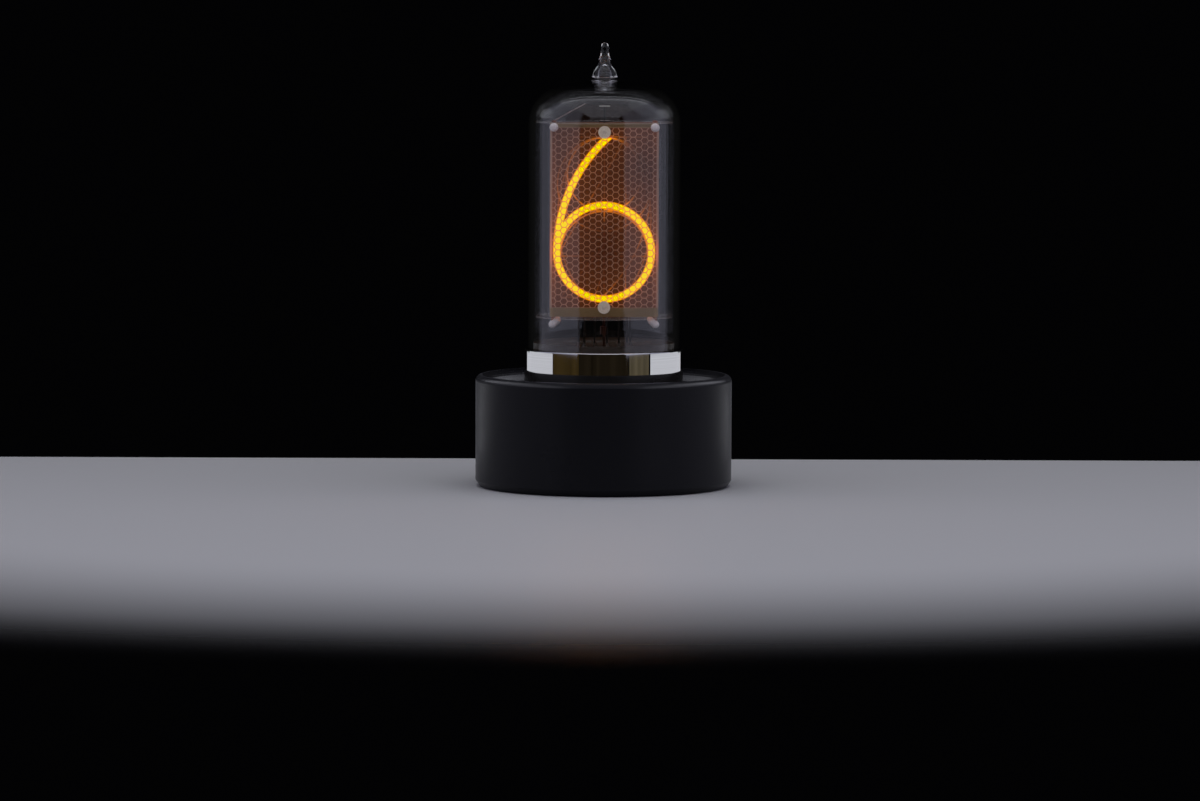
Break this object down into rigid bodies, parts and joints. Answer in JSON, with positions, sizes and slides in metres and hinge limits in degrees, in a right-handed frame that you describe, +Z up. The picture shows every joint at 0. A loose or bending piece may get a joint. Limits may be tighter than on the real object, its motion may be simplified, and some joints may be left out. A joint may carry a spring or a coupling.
{
  "type": "nixie tube clock",
  "caption": "Single-digit nixie tube clock: a domed glass display tube in a chrome collar, plugged into a squat turned round base.",
  "frame": {"origin": "centre of the base on the surface it stands on", "axes": "+Z up along the tube, -Y towards the viewer who reads the digit, +X to that viewer's right"},
  "size_m": [0.108, 0.108, 0.1866],
  "materials": {
    "black_anodised": "turned aluminium, satin black anodised",
    "black_plate": "flat black anodised plate",
    "foot_rubber": "soft black rubber",
    "screw_steel": "plated steel",
    "black_sleeve": "satin brown-black moulding",
    "ceramic": null,
    "contact_brass": "gold-plated brass",
    "circuit_board": "green circuit board",
    "black_plastic": "black moulded plastic",
    "capacitor_sleeve": "dark shrink sleeve",
    "button_metal": "turned aluminium cap",
    "chrome": "polished chrome",
    "electrode_nickel": "bare nickel wire, slightly browned",
    "clear_glass": "clear blown glass",
    "stem_glass": "pressed glass stem with a brown-grey sheen",
    "copper_lead": "copper-clad lead",
    "mica": "clear mica sheet",
    "frit": "white fused glass frit",
    "anode_metal": "etched nickel sheet, browned",
    "unlit_digit": "etched nickel sheet lit by the glow",
    "lit_digit": "etched nickel sheet in an orange neon glow"
  },
  "bodies": {
    "base": {"base_housing": "black_anodised", "bottom_plate": "black_plate", "feet": "foot_rubber", "cover_screws": "screw_steel", "socket_sleeve": "black_sleeve", "sleeve_screws": "screw_steel", "socket_wafer": "ceramic", "socket_contacts": "contact_brass", "socket_board": "circuit_board", "stacking_header": "black_plastic", "driver_board": "circuit_board", "standoffs": "contact_brass", "board_screws": "screw_steel", "boost_coil": "black_plastic", "hv_capacitor": "capacitor_sleeve", "input_capacitor": "capacitor_sleeve", "switch_transistor": "black_plastic", "driver_chips": "black_plastic", "controller_chip": "black_plastic", "cell_holder": "black_plastic", "coin_cell": "screw_steel", "power_jack": "black_plastic", "jack_pin": "screw_steel", "button_board": "circuit_board", "button_switches": "black_plastic"},
    "hour_button": {"hour_button": "button_metal"},
    "minute_button": {"minute_button": "button_metal"},
    "tube": {"tube_collar": "chrome", "tube_base": "black_plastic", "tube_pins": "electrode_nickel", "glass_envelope": "clear_glass", "glass_stem": "stem_glass", "lead_wires": "electrode_nickel", "anode_lead": "copper_lead", "mica_bottom": "mica", "mica_top": "mica", "corner_posts": "electrode_nickel", "corner_beads": "frit", "post_feet": "frit", "anode_mesh": "anode_metal", "rear_plate": "anode_metal", "numeral_0": "unlit_digit", "numeral_1": "unlit_digit", "numeral_2": "unlit_digit", "numeral_3": "unlit_digit", "numeral_4": "unlit_digit", "numeral_5": "unlit_digit", "numeral_6": "lit_digit", "numeral_7": "unlit_digit", "numeral_8": "unlit_digit", "numeral_9": "unlit_digit", "support_rods": "electrode_nickel", "front_washers": "ceramic", "ceramic_spacers": "ceramic", "getter": "electrode_nickel", "getter_wire": "electrode_nickel"}
  },
  "joints": [
    {"name": "tube_lift", "type": "slide", "parent": "base", "child": "tube", "axis": [0, 0, 1], "range_m": [0, 0.04]},
    {"name": "hour_button_press", "type": "slide", "parent": "base", "child": "hour_button", "axis": [0, -1, 0], "range_m": [0, 0.0006], "stiffness_N_per_m": 400},
    {"name": "minute_button_press", "type": "slide", "parent": "base", "child": "minute_button", "axis": [0, -1, 0], "range_m": [0, 0.0006], "stiffness_N_per_m": 400}
  ]
}
